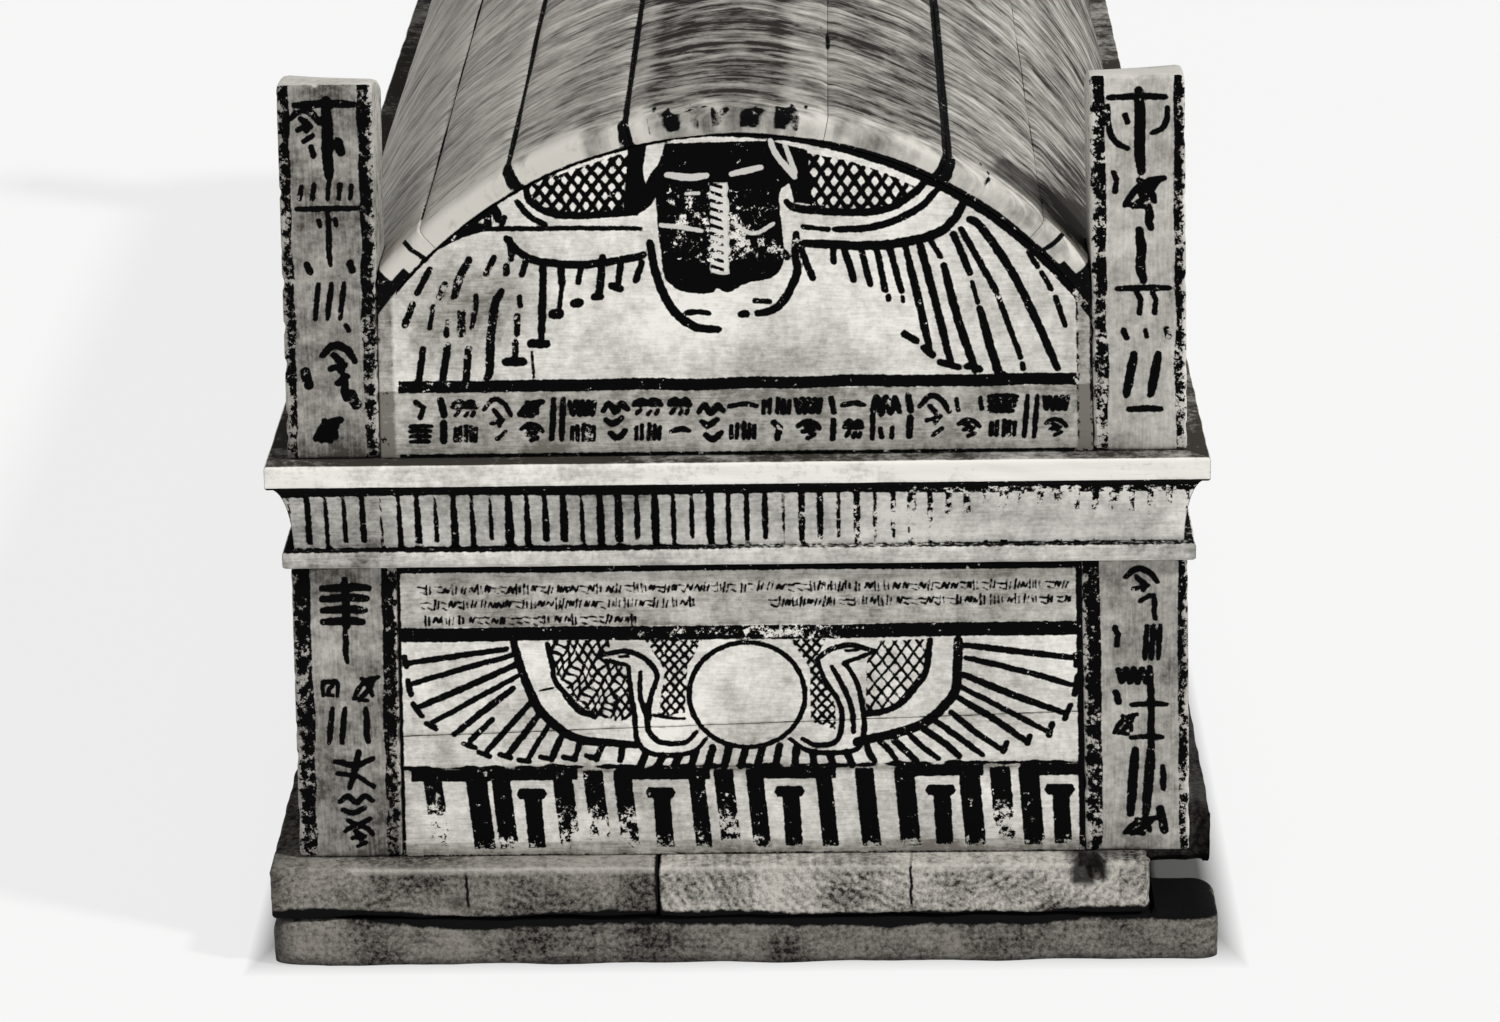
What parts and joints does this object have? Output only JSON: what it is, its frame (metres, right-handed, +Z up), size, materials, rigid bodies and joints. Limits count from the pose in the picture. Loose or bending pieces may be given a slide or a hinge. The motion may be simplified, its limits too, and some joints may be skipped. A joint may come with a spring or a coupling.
{
  "type": "coffin",
  "caption": "Child's painted wooden coffin: plank base on battens, low case with corner posts, cornice, and a lift-off vaulted lid with posts and end boards; hollow and empty.",
  "frame": {"origin": "middle of the footprint, on the ground under the battens", "axes": "+Z up, Y along the coffin with the decorated end at -Y, +X to the right of a viewer facing that end"},
  "size_m": [0.4566, 1.2202, 0.4372],
  "materials": {
    "painted_gesso": "matt painted gesso",
    "painted_post": "matt grey paint, black edges",
    "lid_plank": "brushed thin wash over wood",
    "bare_timber": "bare aged timber"
  },
  "bodies": {
    "root": {"base_board_left": "bare_timber", "base_board_right": "bare_timber", "batten_front": "bare_timber", "batten_rear": "bare_timber", "case_front_panel_lower_board": "painted_gesso", "case_front_panel_upper_board": "painted_gesso", "case_rear_panel_lower_board": "painted_gesso", "case_rear_panel_upper_board": "painted_gesso", "case_side_left": "painted_gesso", "case_side_right": "painted_gesso", "cornice_front": "painted_gesso", "cornice_rear": "painted_gesso", "cornice_left": "painted_gesso", "cornice_right": "painted_gesso", "lid_end_board_front": "painted_gesso", "lid_end_board_rear": "painted_gesso", "case_post_front_left": "painted_post", "case_post_front_right": "painted_post", "case_post_rear_left": "painted_post", "case_post_rear_right": "painted_post", "lid_post_front_left": "painted_post", "lid_post_front_right": "painted_post", "lid_post_rear_left": "painted_post", "lid_post_rear_right": "painted_post", "lid_stave_1": "lid_plank", "lid_stave_2": "lid_plank", "lid_stave_3": "lid_plank", "lid_stave_4": "lid_plank", "lid_stave_5": "lid_plank", "lid_stave_6": "lid_plank", "lid_stave_7": "lid_plank"}
  },
  "joints": []
}
